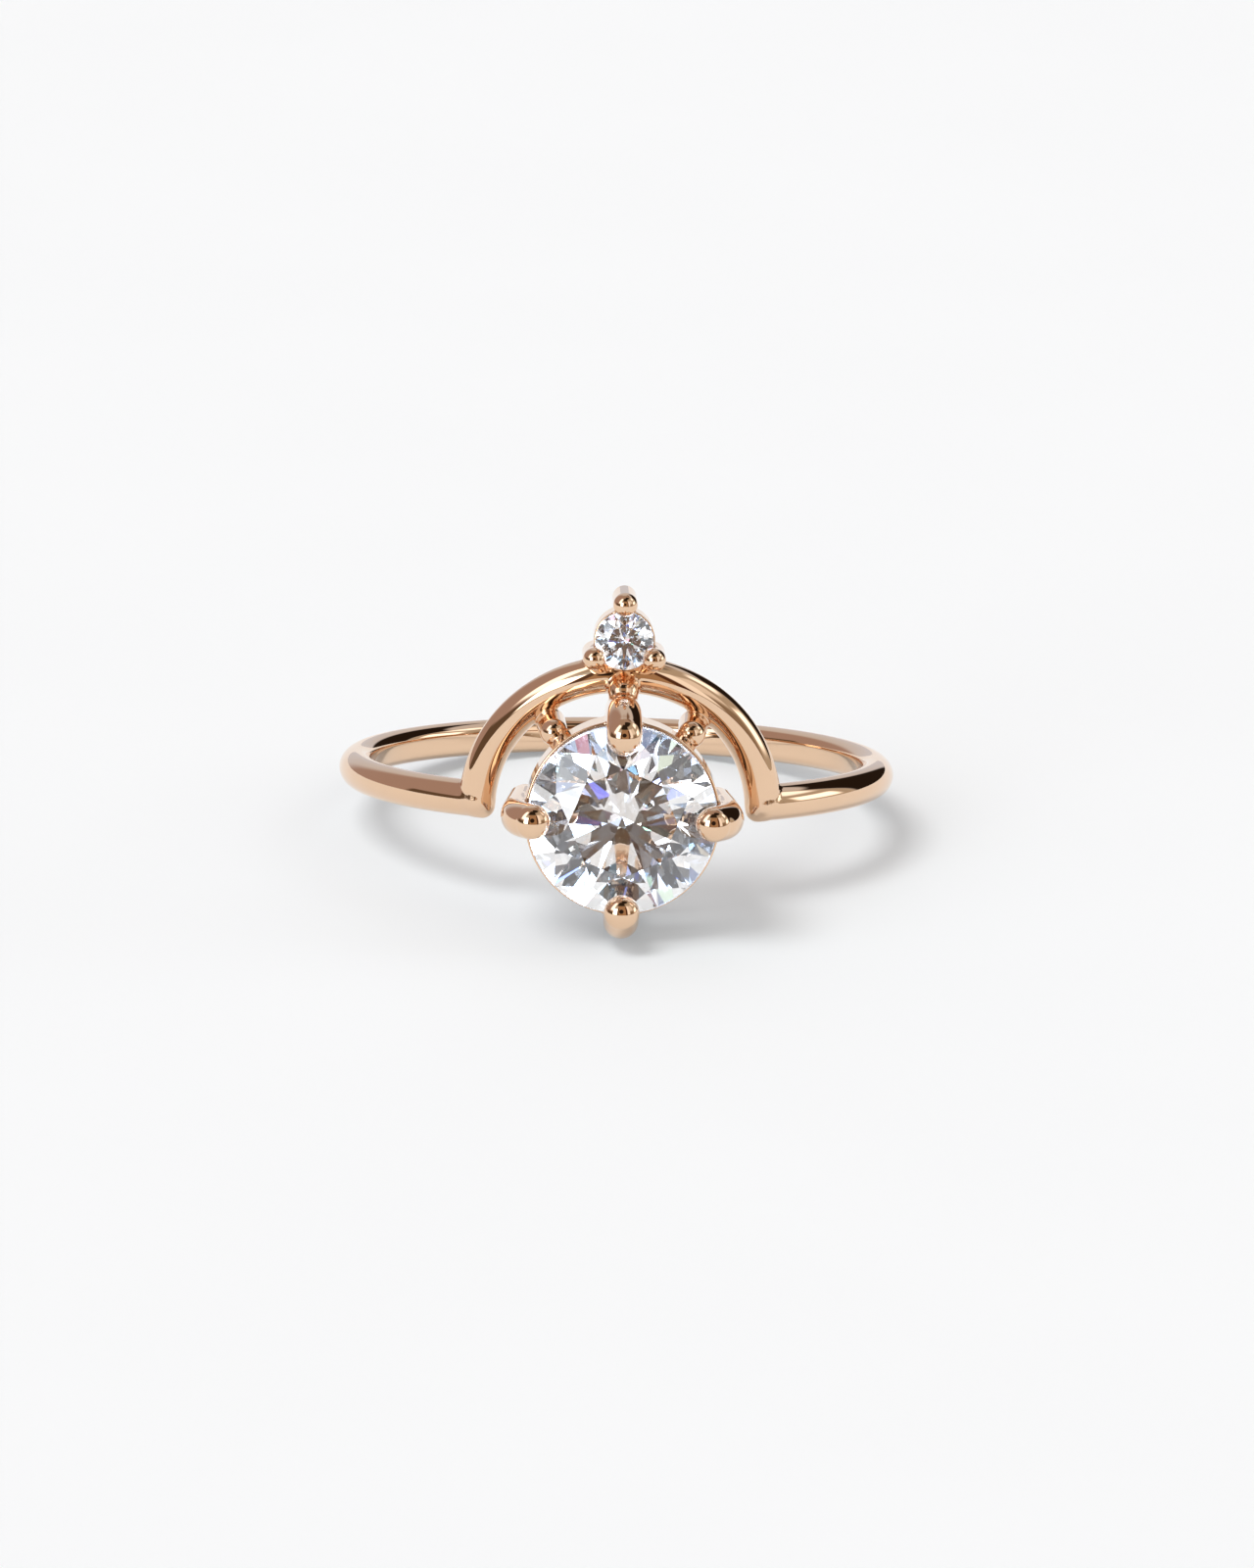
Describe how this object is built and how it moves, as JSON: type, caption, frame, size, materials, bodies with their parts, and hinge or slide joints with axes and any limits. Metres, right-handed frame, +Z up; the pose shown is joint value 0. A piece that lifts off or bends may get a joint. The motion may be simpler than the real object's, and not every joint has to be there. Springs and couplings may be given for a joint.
{
  "type": "diamond ring",
  "caption": "Slim round-wire ring whose shank turns up into a wire arch over a claw-set round brilliant, with a small claw-set accent stone on top of the arch.",
  "frame": {"origin": "on the floor under the centre of the ring's box, as it rests on the back of its shank and the back end of its bottom claw", "axes": "+X to the right as seen from the stones, +Y from the stones towards the back of the shank, +Z up, the finger's axis leans 10 degrees from it"},
  "size_m": [0.0196, 0.024, 0.0116],
  "materials": {
    "rose_gold": "mirror polished rose gold, one soldered piece",
    "diamond": "clear faceted diamond"
  },
  "bodies": {
    "root": {"ring_metal": "rose_gold", "centre_stone": "diamond", "accent_stone": "diamond"}
  },
  "joints": []
}
